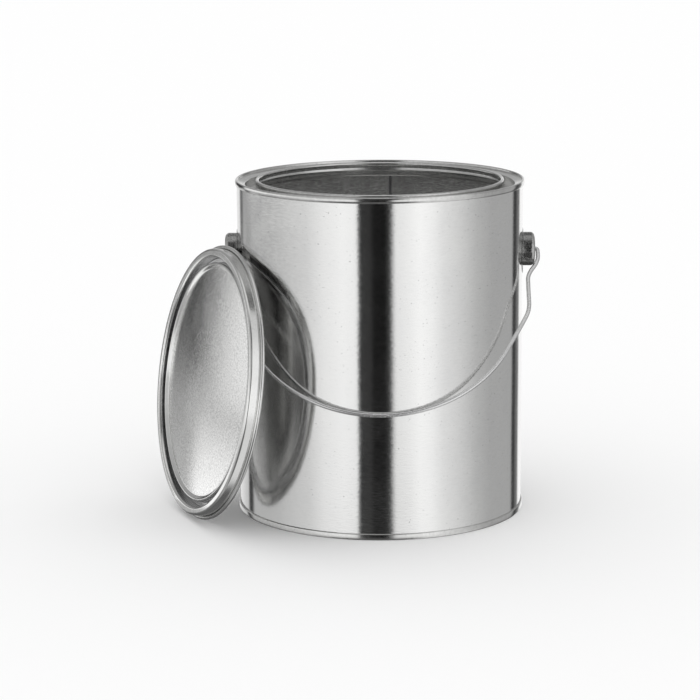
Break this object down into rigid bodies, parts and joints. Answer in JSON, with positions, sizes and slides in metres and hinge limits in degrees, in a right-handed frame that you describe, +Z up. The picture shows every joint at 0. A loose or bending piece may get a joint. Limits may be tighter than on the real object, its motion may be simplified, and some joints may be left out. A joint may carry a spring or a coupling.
{
  "type": "paint can",
  "caption": "Round tinplate can with a grooved friction ring at the top, two drawn side ears, a swinging wire bail and a loose plug lid leaning on its side.",
  "frame": {"origin": "centre of the ring the can stands on, at floor level", "axes": "+Z up along the can's axis, +X from the ear beside the leaning lid to the other ear, -Y towards the side where the bail rests"},
  "size_m": [0.2291, 0.1833, 0.195],
  "materials": {
    "tinplate": "bright tin with a fine rolling grain that runs round the can",
    "lid_tinplate": "bright tin, softly clouded on the flat panel",
    "wire": "drawn tinned steel wire",
    "seam_compound": "dull"
  },
  "bodies": {
    "can": {"body_shell": "tinplate", "top_ring": "tinplate", "bottom_end": "tinplate", "top_seam_compound": "seam_compound", "bottom_seam_compound": "seam_compound", "ear_left": "tinplate", "ear_right": "tinplate"},
    "bail": {"bail": "wire"},
    "lid": {"lid": "lid_tinplate"}
  },
  "joints": [
    {"name": "bail_swing", "type": "hinge", "parent": "can", "child": "bail", "pos_m": [0, 0, 0.153], "axis": [-1, 0, 0], "range_deg": [0, 266.9]},
    {"name": "lid_tip", "type": "hinge", "parent": "can", "child": "lid", "pos_m": [-0.11207, -0.03136, 0.0035], "axis": [0.3891, -0.9212, 0], "range_deg": [0, 99.1]}
  ],
  "couplings": [
    {"joint": "lid_tip", "follows": "bail_swing", "ratio": 0.371}
  ]
}
